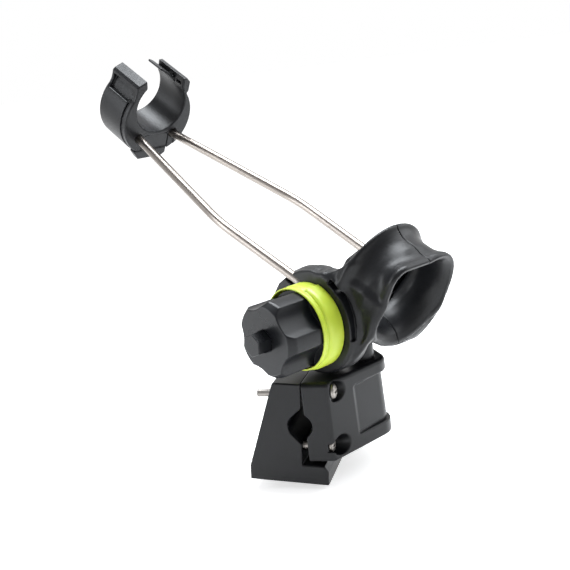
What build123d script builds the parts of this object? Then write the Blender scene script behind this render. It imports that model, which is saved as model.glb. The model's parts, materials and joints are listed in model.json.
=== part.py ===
from build123d import *
import os
from math import asin, atan2, cos, hypot, radians, sin, sqrt

# Rail-mount rod holder, in millimetres.
# The origin is the middle of the rail opening in the clamp. The rail runs along Y, the clamp
# bolts along X, and Z is up. The cradle is swivelled and tilted to its rest position.

# ---- rail clamp ----
RAIL_R = 9.6                # bore of the closed jaws, for a 19 mm rail
CLAMP_LEN = 118.0           # length of the clamp along the rail
HALF_LEN = CLAMP_LEN / 2
JAW_CANT = 5.3              # the loose jaw leans this much when no rail is in it
JAW_FACE_X = 1.0            # gripping face of the jaw
BODY_FACE_X = 4.2           # gripping face of the body
TOP_Z = 34.0
BODY_BOTTOM_Z = -28.7
JAW_TOP_LEFT_X = -20.9
JAW_HEEL_X = -41.0
JAW_HEEL_Z = -36.0          # where the slanted outer face of the jaw ends
JAW_BOTTOM_Z = -47.0
FOOT_TOP_Z = -31.5
FOOT_TIP_X = 21.5
CORNER_X = 26.0             # outer corner of the body's end faces
NOSE_RIM_R = 18.5           # top rim and bottom lip around the swivel socket
NOSE_R = 14.6               # recessed wall between the rim and the lip
PANEL_TOP_Z = 23.0
PANEL_BOTTOM_Z = -17.0
PANEL_HALF = 36.0           # the recessed wall reaches this far along the rail, each way

# ---- clamp bolts (M6) ----
BOLT_R = 3.0
BOLT_Y = HALF_LEN - 8.0
BOLT_Z = (25.0, -18.0)
BOLT_HEAD_R = 5.9
BOLT_HEAD_H = 4.0
HEAD_SEAT_X = (26.0, 20.0)  # seats of the upper and the lower heads
NUT_SEAT_X = -11.0
BOLT_END_X = -32.5
WASHER_R = 6.6
WASHER_T = 1.5
NUT_ACROSS = 10.0
NUT_T = 5.0
COUNTERBORE_R = 8.0
NUT_POCKET_R = 7.0

# ---- swivel post ----
POST_X = 39.6
POST_R = 10.5
RUN_FIT = 0.06              # radial clearance of the turning fits
POST_FOOT_Z = -10.0
WEB_T = 4.0                 # floor of the socket, with the neck of the post through it
NECK_R = 7.0
POST_SCREW_R = 3.0
POST_SCREW_TIP_Z = 6.0
POST_WASHER_R = 11.0
HUB_Z = 75.3                # height of the tilt axis
HEAD_R = 20.0               # barrel on top of the post
HEAD_HALF = 22.0
HEAD_GAP = 1.5              # room between the barrel and the ring above it
DISC_R = 18.0               # toothed friction discs each side of the barrel
DISC_T = 2.0
DISC_TEETH = 24

# ---- cradle, in its own frame: X along the rod, Y along the tilt axis, Z up from the rod ----
SWIVEL = 147.04             # rest heading of the rod direction about Z
TILT = 30.2                 # rest tilt of the rod direction above level
PIVOT_R = 5.0               # M10 pivot bolt
CHEEK_R = 40.5
CHEEK_IN = 30.0             # inner wall of the cheek
CHEEK_OUT = 46.0            # outer face of the cheek
BOSS_R = 31.0
BOSS_IN = 24.1
RING_Z = 41.2               # rod axis above the tilt axis at the rear ring
RING_REAR_X = -48.0
RING_FRONT_X = -8.0
THROAT_R = 30.0
THROAT_X = (-32.0, -22.0)
RIM_REAR_R = 42.0
RIM_FRONT_R = 43.5
WAIST_R = 38.0
PIVOT_HEAD_ACROSS = 17.0
PIVOT_HEAD_T = 6.5

# ---- wires ----
WIRE_R = 4.0
WIRE_START = (12.0, 41.2, 20.0)  # along the rod, out to the side, above the tilt axis
WIRE_BEND = (124.0, 44.5, 11.9)
WIRE_CLIP = (278.0, 19.2, 0.3)
WIRE_END_X = 306.0
WIRE_BEND_R = 150.0
CHANNEL_END_X = 60.0        # the channel that holds the wire runs out of the cheek's front edge

# ---- front clip ----
CLIP_X = 277.0
CLIP_LEN = 42.0
CLIP_Z = 31.4               # axis of the clip's bore
CLIP_R = 26.3
LINER_T = 2.5               # wall of the bore where nothing backs it, such as the springy lip
LIP_ANGLE = 108.0           # the springy lip ends here, round the bore from the near side
LIP_START = 12.0            # it is cut away over the rear part of the clip
ARM_ANGLE = 40.0            # the near arm's inner face ends here
CLIP_OUT_R = 37.5           # outside of the clip, about a lower centre than the bore
CLIP_OUT_AT = (1.0, 18.0)
CLIP_SHOULDER_Z = 46.0      # the outside stops here and the heads of the two arms take over
HEAD_OUTLINE = [(17.0, 50.0), (19.7, 58.5), (27.6, 54.5), (29.6, 52.6), (30.3, 41.0), (24.0, 38.0)]
FAR_LIP_OUTLINE = [(-21.0, 49.0), (-20.6, 57.0), (-24.9, 57.4), (-29.3, 52.7), (-29.1, 42.4), (-24.0, 40.0)]
WINDOW_FLOOR_R = 29.3       # about the bore's axis
WINDOW_OUTLINE = [(26.5, 49.5), (42.0, 51.5), (42.0, 35.5), (30.0, 37.0)]
WINDOW_X = (7.5, 39.0)
SPLIT_Z = 0.0               # parting plane of clip and base, through the wires
BASE_BOTTOM_Z = -16.0
FOOT_OUTLINE = [(-13.4, -13.0), (-13.3, -19.2), (-9.1, -22.0), (17.0, -22.0), (22.5, -14.9), (22.5, -13.0)]
FOOT_T = 8.0
CLIP_SCREW_X = (21.0, 34.0)
SET_SCREW_X = 6.0
SET_SCREW_TIP_Z = -14.4
SET_SCREW_R = 2.0

# ---- knob and lime ring ----
KNOB_REAR_Y = 53.0
KNOB_FRONT_Y = 95.0
KNOB_R = 29.6
KNOB_FACE_R = 26.5
KNOB_SHOULDER_Y = 90.0
KNOB_LOBES = 5
FLUTE_R = 24.0              # radius of each concave flute
FLUTE_DEPTH = 6.0
LOBE_PHASE = 10.0
HEX_R = 9.1                 # circumradius of the drive hex
HEX_TIP_Y = 107.0
HEX_ROOT_Y = 80.0
HEX_PHASE = 22.0
INSERT_R = 8.0
INSERT_END_Y = 78.0
RING_OUT_R = 33.5
RING_BORE_R = 30.2
RING_FLOOR_Y = 52.0
RING_SHOULDER_Y = 58.5
RING_LIP_Y = 65.0

os.makedirs("parts", exist_ok=True)
cradle_place = Pos(POST_X, 0, HUB_Z) * Rot(0, 0, SWIVEL) * Rot(0, -TILT, 0)
jaw_place = Rot(0, JAW_CANT, 0)


def cyl(axis, radius, start, end, at=(0, 0)):
    """A cylinder along X, Y or Z from start to end; `at` holds the other two coordinates in order."""
    length = end - start
    middle = (start + end) / 2
    if axis == "X":
        return Pos(middle, at[0], at[1]) * Rot(0, 90, 0) * Cylinder(radius, length)
    if axis == "Y":
        return Pos(at[0], middle, at[1]) * Rot(90, 0, 0) * Cylinder(radius, length)
    return Pos(at[0], at[1], middle) * Cylinder(radius, length)


def box(x0, x1, y0, y1, z0, z1):
    return Pos((x0 + x1) / 2, (y0 + y1) / 2, (z0 + z1) / 2) * Box(x1 - x0, y1 - y0, z1 - z0)


def hexagon(across, height):
    return extrude(RegularPolygon(across / 2, 6, major_radius=False), height)


def polar(radius, angle):
    """Point at `radius`, at `angle` degrees from local Z towards local X."""
    return (radius * sin(radians(angle)), radius * cos(radians(angle)))


def revolved(points, axis_z=0.0):
    """Turn a closed outline of (x, r) points about the line parallel to X at height axis_z."""
    outline = make_face(Polyline(*[(x, 0, axis_z + r) for x, r in points], close=True))
    return revolve(outline, Axis((0, 0, axis_z), (1, 0, 0)), 360)


def save(node, *solids):
    shape = solids[0] if len(solids) == 1 else Compound(children=list(solids))
    export_step(shape, f"parts/{node}.step")


def placed(location, solids):
    return [location * solid for solid in solids]


# ---------------------------------------------------------------- rail clamp
def bolt_places():
    return [(y, z) for y in (-BOLT_Y, BOLT_Y) for z in BOLT_Z]


def head_seat(z):
    return HEAD_SEAT_X[BOLT_Z.index(z)]


def rail_notch(side, face_x):
    """V notch that is tangent to the rail bore; side is -1 for the jaw and +1 for the body."""
    reach = RAIL_R * sqrt(2) - abs(face_x) * (1 if side * face_x > 0 else -1)
    touch = RAIL_R / sqrt(2)
    outline = [
        (face_x, reach),
        (side * touch, touch),
        (side * touch, -touch),
        (face_x, -reach),
        (face_x - side * 8, -reach),
        (face_x - side * 8, reach),
    ]
    wedge = make_face(Polyline(*[(x, 0, z) for x, z in outline], close=True))
    wedge = extrude(wedge, CLAMP_LEN / 2 + 1, dir=(0, 1, 0), both=True)
    return wedge + cyl("Y", RAIL_R, -HALF_LEN - 1, HALF_LEN + 1)


def nose_plan(radius):
    """Plan of the body: straight end faces that run in tangents to a nose around the post."""
    distance = hypot(POST_X - CORNER_X, HALF_LEN)
    heading = atan2(HALF_LEN, POST_X - CORNER_X)
    swing = heading - asin(radius / distance)
    reach = sqrt(distance**2 - radius**2)
    tangent = (CORNER_X + reach * cos(swing), -HALF_LEN + reach * sin(swing))
    edges = [
        Line((BODY_FACE_X, -HALF_LEN), (CORNER_X, -HALF_LEN)),
        Line((CORNER_X, -HALF_LEN), tangent),
        ThreePointArc(tangent, (POST_X + radius, 0), (tangent[0], -tangent[1])),
        Line((tangent[0], -tangent[1]), (CORNER_X, HALF_LEN)),
        Line((CORNER_X, HALF_LEN), (BODY_FACE_X, HALF_LEN)),
        Line((BODY_FACE_X, HALF_LEN), (BODY_FACE_X, -HALF_LEN)),
    ]
    return make_face(edges)


def clamp_body():
    rim_plan = nose_plan(NOSE_RIM_R)
    wall_plan = nose_plan(NOSE_R)
    body = extrude(Pos(0, 0, BODY_BOTTOM_Z) * rim_plan, TOP_Z - BODY_BOTTOM_Z)
    end_corners = body.edges().filter_by(Axis.Z).filter_by_position(Axis.X, CORNER_X - 1, CORNER_X + 1)
    body = fillet(end_corners, 4)
    top_rim = body.faces().sort_by(Axis.Z)[-1].edges().filter_by_position(Axis.X, BODY_FACE_X + 1, 100)
    body = fillet(top_rim, 3.5)
    band = extrude(Pos(0, 0, PANEL_BOTTOM_Z) * rim_plan, PANEL_TOP_Z - PANEL_BOTTOM_Z)
    band -= extrude(Pos(0, 0, PANEL_BOTTOM_Z) * wall_plan, PANEL_TOP_Z - PANEL_BOTTOM_Z)
    band &= box(CORNER_X, 80, -PANEL_HALF, PANEL_HALF, PANEL_BOTTOM_Z, PANEL_TOP_Z)
    body -= band
    body -= rail_notch(1, BODY_FACE_X)
    for y, z in bolt_places():
        body -= cyl("X", BOLT_R + 0.3, 0, 60, (y, z))
        body -= cyl("X", COUNTERBORE_R, head_seat(z), 60, (y, z))
    body -= cyl("Z", POST_R + RUN_FIT, POST_FOOT_Z, TOP_Z + 1, (POST_X, 0))
    body -= cyl("Z", NECK_R + RUN_FIT, POST_FOOT_Z - WEB_T - 1, POST_FOOT_Z + 1, (POST_X, 0))
    body -= cyl("Z", 12.0, BODY_BOTTOM_Z - 1, POST_FOOT_Z - WEB_T, (POST_X, 0))
    return body


def rear_jaw():
    outline = Polyline(
        (JAW_FACE_X, 0, TOP_Z),
        (JAW_TOP_LEFT_X, 0, TOP_Z),
        (JAW_HEEL_X, 0, JAW_HEEL_Z),
        (JAW_HEEL_X, 0, JAW_BOTTOM_Z),
        (FOOT_TIP_X, 0, JAW_BOTTOM_Z),
        (FOOT_TIP_X, 0, JAW_HEEL_Z),
        (FOOT_TIP_X - 3, 0, FOOT_TOP_Z),
        (JAW_FACE_X, 0, FOOT_TOP_Z),
        close=True,
    )
    jaw = extrude(make_face(outline), HALF_LEN, dir=(0, 1, 0), both=True)
    heel = jaw.edges().filter_by(Axis.Y).sort_by(Axis.X)[:2]
    jaw = fillet(heel, 1.5)
    shoulder = jaw.edges().filter_by(Axis.Y).filter_by_position(Axis.X, JAW_TOP_LEFT_X - 1, JAW_TOP_LEFT_X + 1)
    jaw = fillet(shoulder, 3)
    jaw -= rail_notch(-1, JAW_FACE_X)
    jaw = jaw_place * jaw
    for y, z in bolt_places():
        jaw -= cyl("X", BOLT_R + 0.6, -60, 30, (y, z))
        jaw -= cyl("X", NUT_POCKET_R, -70, NUT_SEAT_X, (y, z))
    return jaw


def cross_recess(depth, reach):
    return Box(depth, 2 * reach, 1.3) + Box(depth, 1.3, 2 * reach)


def clamp_bolt(y, z):
    seat = head_seat(z)
    head = cyl("X", BOLT_HEAD_R, seat, seat + BOLT_HEAD_H, (y, z))
    head = fillet(head.edges().sort_by(Axis.X)[-1], 2.2)
    head -= Pos(seat + BOLT_HEAD_H - 1, y, z) * cross_recess(2.4, 3.2)
    shank = cyl("X", BOLT_R, BOLT_END_X, seat + 0.5, (y, z))
    shank = chamfer(shank.edges().sort_by(Axis.X)[0], 0.8)
    return head + shank


def clamp_washer(y, z):
    washer = cyl("X", WASHER_R, NUT_SEAT_X - WASHER_T, NUT_SEAT_X, (y, z))
    return washer - cyl("X", BOLT_R + 0.3, NUT_SEAT_X - 5, NUT_SEAT_X + 5, (y, z))


def clamp_nut(y, z):
    nut = Pos(NUT_SEAT_X - WASHER_T - NUT_T, y, z) * Rot(0, 90, 0) * hexagon(NUT_ACROSS, NUT_T)
    return nut - cyl("X", BOLT_R + RUN_FIT, -40, 0, (y, z))


# ---------------------------------------------------------------- swivel post
def swivel_post():
    post = cyl("Z", POST_R, POST_FOOT_Z, HUB_Z, (POST_X, 0))
    post += cyl("Z", NECK_R, POST_FOOT_Z - WEB_T - 0.1, POST_FOOT_Z, (POST_X, 0))
    barrel = cradle_place * cyl("Y", HEAD_R, -HEAD_HALF, HEAD_HALF)
    post += barrel
    post -= cradle_place * cyl("Y", PIVOT_R + RUN_FIT, -40, 40)
    post -= cyl("Z", POST_SCREW_R, -30, POST_SCREW_TIP_Z, (POST_X, 0))
    return post


def friction_disc(side):
    """Disc keyed to the barrel, with radial teeth on the face that meets the cheek."""
    inner = side * HEAD_HALF
    outer = side * (HEAD_HALF + DISC_T)
    disc = cyl("Y", DISC_R, min(inner, outer), max(inner, outer))
    groove = Pos(0, outer, DISC_R * 0.8) * Box(1.6, 1.4, DISC_R * 0.45)
    for tooth in range(DISC_TEETH):
        disc -= Rot(0, tooth * 360 / DISC_TEETH, 0) * groove
    return disc - cyl("Y", PIVOT_R + RUN_FIT, -40, 40)


def post_washer():
    top = POST_FOOT_Z - WEB_T - 0.1
    washer = cyl("Z", POST_WASHER_R, top - 2, top, (POST_X, 0))
    return washer - cyl("Z", POST_SCREW_R, top - 3, top + 1, (POST_X, 0))


def post_screw():
    head_top = POST_FOOT_Z - WEB_T - 2.1
    screw = cyl("Z", 6.0, head_top - 4, head_top, (POST_X, 0))
    screw += cyl("Z", POST_SCREW_R, head_top - 1, POST_SCREW_TIP_Z, (POST_X, 0))
    return screw - Pos(POST_X, 0, head_top - 4) * Rot(0, 90, 0) * cross_recess(4.0, 3.2)


# ---------------------------------------------------------------- cradle
def ring_outside():
    waist = (THROAT_X[0] + THROAT_X[1]) / 2
    return revolved([
        (RING_REAR_X, 0),
        (RING_REAR_X, RIM_REAR_R - 1.5),
        (RING_REAR_X + 1.5, RIM_REAR_R),
        (RING_REAR_X + 4.5, RIM_REAR_R),
        (RING_REAR_X + 10, WAIST_R + 1.5),
        (waist - 4, WAIST_R),
        (waist + 4, WAIST_R),
        (RING_FRONT_X - 9, WAIST_R + 2.5),
        (RING_FRONT_X - 4, RIM_FRONT_R),
        (RING_FRONT_X - 1, RIM_FRONT_R),
        (RING_FRONT_X, RIM_FRONT_R - 1),
        (RING_FRONT_X, 0),
    ], RING_Z)


def ring_bore():
    return revolved([
        (RING_REAR_X - 20, 0),
        (RING_REAR_X - 20, RIM_REAR_R - 3.5),
        (RING_REAR_X, RIM_REAR_R - 3.5),
        (RING_REAR_X + 7, THROAT_R + 2),
        (THROAT_X[0], THROAT_R),
        (THROAT_X[1], THROAT_R),
        (RING_FRONT_X - 6, THROAT_R + 2.5),
        (RING_FRONT_X, RIM_FRONT_R - 4),
        (RING_FRONT_X, 0),
    ], RING_Z)


def cheek_plate():
    """Side wall that carries the ring on the hub, its rear edge rising to the ring's rim."""
    edges = [
        ThreePointArc((-30.5, 0, -26.6), (0, 0, -CHEEK_R), (38.8, 0, -11.6)),
        Line((38.8, 0, -11.6), (46.0, 0, -6.0)),
        Line((46.0, 0, -6.0), (44.0, 0, 6.5)),
        Line((44.0, 0, 6.5), (34.5, 0, 21.2)),
        ThreePointArc((34.5, 0, 21.2), (25.0, 0, 31.9), (4.0, 0, 42.5)),
        Spline((4.0, 0, 42.5), (-2.0, 0, 49.0), (-9.0, 0, 60.0)),
        Line((-9.0, 0, 60.0), (-46.0, 0, 60.0)),
        Spline((-46.0, 0, 60.0), (-48.0, 0, 32.0), (-43.5, 0, 2.0), (-30.5, 0, -26.6)),
    ]
    plate = extrude(make_face(edges), CHEEK_OUT - CHEEK_IN, dir=(0, 1, 0))
    plate = Pos(0, CHEEK_IN, 0) * plate
    # the outer face leans in towards the ring above the hub
    lean = Polyline(
        (0, CHEEK_OUT, 30.0),
        (0, CHEEK_OUT + 20, 30.0),
        (0, CHEEK_OUT + 20, 70.0),
        (0, CHEEK_IN - 2, 70.0),
        (0, CHEEK_IN, 62.0),
        close=True,
    )
    return plate - extrude(make_face(lean), 80, dir=(1, 0, 0), both=True)


def wire_at(x):
    """Distance to the side and height of the wire's line beyond its bend."""
    along = (x - WIRE_BEND[0]) / (WIRE_CLIP[0] - WIRE_BEND[0])
    return [bend + along * (clip - bend) for bend, clip in zip(WIRE_BEND[1:], WIRE_CLIP[1:])]


def wire_path(side):
    end_y, end_z = wire_at(WIRE_END_X)
    start = (WIRE_START[0], side * WIRE_START[1], WIRE_START[2])
    bend = (WIRE_BEND[0], side * WIRE_BEND[1], WIRE_BEND[2])
    end = (WIRE_END_X, side * end_y, end_z)
    return FilletPolyline(start, bend, end, radius=WIRE_BEND_R)


def wire_channel(side):
    """Groove in the cheek's outer face that the wire lies in, open to the front and the outside."""
    slope = (WIRE_BEND[2] - WIRE_START[2]) / (WIRE_BEND[0] - WIRE_START[0])
    end_z = WIRE_START[2] + slope * (CHANNEL_END_X - WIRE_START[0])
    outline = [
        (WIRE_START[0], side * WIRE_START[1], WIRE_START[2] + WIRE_R),
        (CHANNEL_END_X, side * WIRE_START[1], end_z + WIRE_R),
        (CHANNEL_END_X, side * WIRE_START[1], end_z - WIRE_R),
        (WIRE_START[0], side * WIRE_START[1], WIRE_START[2] - WIRE_R),
    ]
    return extrude(make_face(Polyline(*outline, close=True)), 10, dir=(0, side, 0))


def wire(side):
    path = wire_path(side)
    section = Plane(origin=path @ 0, z_dir=path % 0) * Circle(WIRE_R)
    return sweep(section, path=path)


def seam_pins():
    """Dowels that line up the two halves across the seam, at the top of the ring."""
    spots = [(RING_REAR_X + 6, 38.0), (RING_FRONT_X - 5, 39.5)]
    return [cyl("Y", 1.5, -6, 6, (x, RING_Z + r - 1.6)) for x, r in spots]


def cradle_half(side):
    half = ring_outside() + cheek_plate() + cyl("Y", BOSS_R, BOSS_IN, CHEEK_IN + 1)
    half += cyl("Y", CHEEK_R, CHEEK_IN, CHEEK_OUT)
    half -= ring_bore()
    half &= box(-80, 80, 0, CHEEK_OUT, -60, 100)
    half -= cyl("Y", HEAD_R + HEAD_GAP, -1, BOSS_IN)
    half -= cyl("Y", PIVOT_R + 0.3, 0, 60)
    if side < 0:
        half = mirror(half, Plane.XZ)
        pocket = Rot(90, 0, 0) * hexagon(PIVOT_HEAD_ACROSS + 0.2, PIVOT_HEAD_T)
        half -= Pos(0, -CHEEK_OUT + PIVOT_HEAD_T, 0) * pocket
    half -= wire(side) + wire_channel(side)
    for pin in seam_pins():
        half -= pin
    return half


def pivot_bolt():
    head = Pos(0, -CHEEK_OUT + PIVOT_HEAD_T, 0) * Rot(90, 0, 0) * hexagon(PIVOT_HEAD_ACROSS, PIVOT_HEAD_T)
    shank = cyl("Y", PIVOT_R, -CHEEK_OUT + PIVOT_HEAD_T - 0.5, INSERT_END_Y - 1)
    return head + shank


# ---------------------------------------------------------------- knob and ring
def turned_y(points):
    """Turn a closed outline of (y, r) points about the tilt axis."""
    outline = make_face(Polyline(*[(r, y, 0) for y, r in points], close=True))
    return revolve(outline, Axis.Y, 360)


def lock_ring():
    return turned_y([
        (CHEEK_OUT, 13.0),
        (CHEEK_OUT, RING_OUT_R - 0.5),
        (CHEEK_OUT + 1, RING_OUT_R),
        (RING_SHOULDER_Y - 2, RING_OUT_R),
        (RING_SHOULDER_Y + 0.5, RING_OUT_R - 0.8),
        (RING_LIP_Y - 1, RING_BORE_R + 1.3),
        (RING_LIP_Y, RING_BORE_R + 0.9),
        (RING_LIP_Y, RING_BORE_R),
        (RING_FLOOR_Y, RING_BORE_R),
        (RING_FLOOR_Y, 13.0),
    ])


def knob_washer():
    washer = cyl("Y", 12.5, CHEEK_OUT, KNOB_REAR_Y - 0.1)
    return washer - cyl("Y", PIVOT_R + 0.2, 40, 60)


def knob():
    body = turned_y([
        (KNOB_REAR_Y, 0),
        (KNOB_REAR_Y, KNOB_R),
        (KNOB_SHOULDER_Y, KNOB_R),
        (KNOB_FRONT_Y, KNOB_FACE_R),
        (KNOB_FRONT_Y, 0),
    ])
    for lobe in range(KNOB_LOBES):
        angle = LOBE_PHASE + (lobe + 0.5) * 360 / KNOB_LOBES
        x, z = polar(KNOB_R - FLUTE_DEPTH + FLUTE_R, angle)
        body -= cyl("Y", FLUTE_R, RING_LIP_Y - 3, KNOB_FRONT_Y + 1, (x, z))
    body -= cyl("Y", INSERT_R, KNOB_REAR_Y - 1, INSERT_END_Y)
    body -= hex_prism(HEX_ROOT_Y, KNOB_FRONT_Y + 1)
    return body


def hex_prism(start, end):
    corners = [polar(HEX_R, HEX_PHASE + 60 * k) for k in range(6)]
    face = make_face(Polyline(*[(x, start, z) for x, z in corners], close=True))
    return extrude(face, end - start, dir=(0, 1, 0))


def drive_hex():
    return hex_prism(HEX_ROOT_Y, HEX_TIP_Y)


def knob_insert():
    return cyl("Y", INSERT_R, KNOB_REAR_Y, INSERT_END_Y) - cyl("Y", PIVOT_R + RUN_FIT, 40, INSERT_END_Y + 1)


# ---------------------------------------------------------------- clip
def clip_arc(start, end, inner, outer, x0=0.0, x1=CLIP_LEN):
    """Part of a ring about the bore; angles in degrees from the near side, over the mouth."""
    def points(radius):
        angles = [radians(a) for a in (start, (start + end) / 2, end)]
        return [(CLIP_X + x0, radius * cos(a), CLIP_Z + radius * sin(a)) for a in angles]

    inside = points(inner)
    outside = points(outer)
    edges = [
        ThreePointArc(*inside),
        Line(inside[2], outside[2]),
        ThreePointArc(*outside[::-1]),
        Line(outside[0], inside[0]),
    ]
    return extrude(make_face(edges), x1 - x0, dir=(1, 0, 0))


def clip_block(corners, x0=0.0, x1=CLIP_LEN):
    """A block along the clip with the given (y, z) corners."""
    face = make_face(Polyline(*[(CLIP_X + x0, y, z) for y, z in corners], close=True))
    return extrude(face, x1 - x0, dir=(1, 0, 0))


def clip_slice(z0, z1):
    """The clip's round outside between two heights."""
    outside = cyl("X", CLIP_OUT_R, CLIP_X, CLIP_X + CLIP_LEN, CLIP_OUT_AT)
    return outside & box(CLIP_X - 1, CLIP_X + CLIP_LEN + 1, -60, 60, z0, z1)


def rod_clip():
    clip = clip_slice(SPLIT_Z, CLIP_SHOULDER_Z)
    clip += clip_arc(LIP_ANGLE + 30, ARM_ANGLE + 360, CLIP_R - 1, CLIP_R + LINER_T)
    clip += clip_block(HEAD_OUTLINE)
    clip += clip_block(FAR_LIP_OUTLINE)
    clip += clip_arc(LIP_ANGLE, LIP_ANGLE + 35, CLIP_R - 1, CLIP_R + LINER_T, LIP_START)
    clip -= clip_block(WINDOW_OUTLINE, *WINDOW_X) - cyl("X", WINDOW_FLOOR_R, CLIP_X, CLIP_X + CLIP_LEN, (0, CLIP_Z))
    clip -= cyl("X", CLIP_R, CLIP_X - 1, CLIP_X + CLIP_LEN + 1, (0, CLIP_Z))
    clip &= box(CLIP_X - 1, CLIP_X + CLIP_LEN + 1, -60, 60, SPLIT_Z, 100)
    for piece in [wire(1), wire(-1), *clip_screws()]:
        clip -= piece
    return clip


def clip_base():
    base = clip_slice(BASE_BOTTOM_Z, SPLIT_Z) + clip_block(FOOT_OUTLINE, 0, FOOT_T)
    for piece in [wire(1), wire(-1), *clip_screws(), *set_screws()]:
        base -= piece
    return base


def clip_screws():
    """Screws that hold the base to the clip, between the ends of the wires."""
    screws = []
    for x in CLIP_SCREW_X:
        shank = cyl("Z", 2.0, BASE_BOTTOM_Z - 1, SPLIT_Z + 4, (CLIP_X + x, 0))
        screws.append(shank + cyl("Z", 4.0, BASE_BOTTOM_Z - 2.5, BASE_BOTTOM_Z, (CLIP_X + x, 0)))
    return screws


def set_screws():
    """Grub screws under the wires, their ends just proud of the base."""
    side_y, height = wire_at(CLIP_X + SET_SCREW_X)
    top = height - WIRE_R - 0.2
    return [cyl("Z", SET_SCREW_R, SET_SCREW_TIP_Z, top, (CLIP_X + SET_SCREW_X, y)) for y in (-side_y, side_y)]


save("clamp_body", clamp_body())
save("rear_jaw", rear_jaw())
save("clamp_bolts", *[clamp_bolt(y, z) for y, z in bolt_places()])
save("clamp_washers", *[clamp_washer(y, z) for y, z in bolt_places()])
save("clamp_nuts", *[clamp_nut(y, z) for y, z in bolt_places()])
save("swivel_post", swivel_post())
save("near_friction_disc", cradle_place * friction_disc(1))
save("far_friction_disc", cradle_place * friction_disc(-1))
save("post_washer", post_washer())
save("post_screw", post_screw())
save("near_cradle_half", cradle_place * cradle_half(1))
save("far_cradle_half", cradle_place * cradle_half(-1))
save("seam_pins", *placed(cradle_place, seam_pins()))
save("pivot_bolt", cradle_place * pivot_bolt())
save("lock_ring", cradle_place * lock_ring())
save("knob_washer", cradle_place * knob_washer())
save("knob", cradle_place * knob())
save("knob_insert", cradle_place * knob_insert())
save("drive_hex", cradle_place * drive_hex())
save("near_wire", cradle_place * wire(1))
save("far_wire", cradle_place * wire(-1))
save("rod_clip", cradle_place * rod_clip())
save("clip_base", cradle_place * clip_base())
save("clip_screws", *placed(cradle_place, clip_screws()))
save("wire_set_screws", *placed(cradle_place, set_screws()))
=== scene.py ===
import functools
import json
import math

import bpy
import numpy as np
from mathutils import Matrix, Vector


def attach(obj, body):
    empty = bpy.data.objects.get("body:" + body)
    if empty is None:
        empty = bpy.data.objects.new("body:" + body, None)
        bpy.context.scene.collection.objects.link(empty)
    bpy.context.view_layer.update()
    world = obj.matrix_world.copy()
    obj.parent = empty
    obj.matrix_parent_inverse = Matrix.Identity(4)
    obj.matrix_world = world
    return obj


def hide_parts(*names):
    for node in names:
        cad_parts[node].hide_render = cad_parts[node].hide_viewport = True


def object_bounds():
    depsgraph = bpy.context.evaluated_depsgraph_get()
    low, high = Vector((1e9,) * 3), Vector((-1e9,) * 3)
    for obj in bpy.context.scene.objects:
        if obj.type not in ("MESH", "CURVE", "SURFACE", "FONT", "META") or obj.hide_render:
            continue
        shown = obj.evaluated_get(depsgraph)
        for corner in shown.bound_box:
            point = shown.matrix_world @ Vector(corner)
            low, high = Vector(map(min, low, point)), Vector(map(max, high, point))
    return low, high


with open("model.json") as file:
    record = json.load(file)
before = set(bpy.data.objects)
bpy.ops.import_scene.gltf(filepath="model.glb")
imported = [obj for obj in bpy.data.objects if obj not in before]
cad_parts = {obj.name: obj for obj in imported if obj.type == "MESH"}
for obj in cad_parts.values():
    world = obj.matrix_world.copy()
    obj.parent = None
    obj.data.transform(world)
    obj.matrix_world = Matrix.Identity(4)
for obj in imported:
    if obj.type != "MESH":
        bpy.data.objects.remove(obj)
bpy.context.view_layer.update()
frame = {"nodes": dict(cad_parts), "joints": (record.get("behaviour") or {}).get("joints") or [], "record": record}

# A rail-mount rod holder. Shapes are worked out in millimetres, in the frame of the body they
# belong to, as distance fields: functions that give how far a point is outside a shape.
JOINTS = {joint["name"]: joint for joint in frame["joints"]}
MOUNTS = {mount["name"]: mount for mount in frame["record"]["mounts"]}

# ---- frames ----
MM = 0.001
ROD = Vector(MOUNTS["rod_clip"]["axis"])                # along the rod, towards its tip
SIDE = -Vector(JOINTS["cradle_tilt"]["axis"])           # towards the knob
RISE = ROD.cross(SIDE)
HUB = Vector(JOINTS["cradle_tilt"]["pos_m"])
CRADLE = Matrix((
    (ROD.x * MM, SIDE.x * MM, RISE.x * MM, HUB.x),
    (ROD.y * MM, SIDE.y * MM, RISE.y * MM, HUB.y),
    (ROD.z * MM, SIDE.z * MM, RISE.z * MM, HUB.z),
    (0, 0, 0, 1),
))
WORLD = Matrix.Diagonal((MM, MM, MM, 1))
JAW_LEAN = math.radians(5.3)                            # the loose jaw leans with no rail in it
JAW = Matrix.Rotation(JAW_LEAN, 4, "Y") @ WORLD


def in_cradle(mount):
    """Where a mount lies in the cradle's own frame, in millimetres."""
    return CRADLE.inverted() @ Vector(MOUNTS[mount]["pos_m"])


RING_Z = in_cradle("rod_ring").z
CLIP_Z = in_cradle("rod_clip").z
CLIP_LEN = MOUNTS["rod_clip"]["dims"]["length_mm"]
CLIP_REAR = in_cradle("rod_clip").x - CLIP_LEN / 2
CLIP_FRONT = CLIP_REAR + CLIP_LEN
CLIP_R = MOUNTS["rod_clip"]["dims"]["r_mm"]
RAIL_R = MOUNTS["rail_clamp"]["dims"]["r_mm"]
HALF_LEN = MOUNTS["rail_clamp"]["dims"]["length_mm"] / 2
POST_X = JOINTS["swivel_turn"]["pos_m"][0] / MM

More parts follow.
